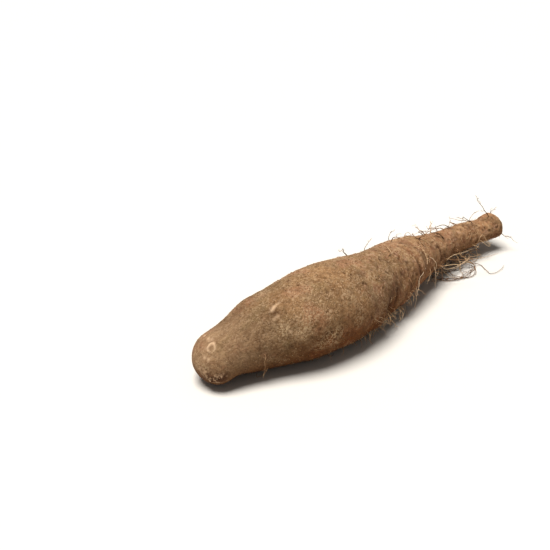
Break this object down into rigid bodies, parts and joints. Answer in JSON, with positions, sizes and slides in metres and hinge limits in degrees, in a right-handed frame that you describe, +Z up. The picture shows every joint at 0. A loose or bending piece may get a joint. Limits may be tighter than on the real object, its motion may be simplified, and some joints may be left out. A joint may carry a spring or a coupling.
{
  "type": "mountain yam",
  "caption": "Whole mountain yam tuber with a fat rounded growing tip, a thin hairy neck and fine rootlets, lying on its side.",
  "frame": {"origin": "on the ground under the middle of the tuber's box", "axes": "+X along the tuber from the fat growing tip to the thin neck, +Z up as it lies"},
  "size_m": [0.2597, 0.068, 0.0494],
  "materials": {
    "yam_skin": "matte, dusty with dry soil"
  },
  "bodies": {
    "root": {"tuber": "yam_skin"}
  },
  "joints": []
}
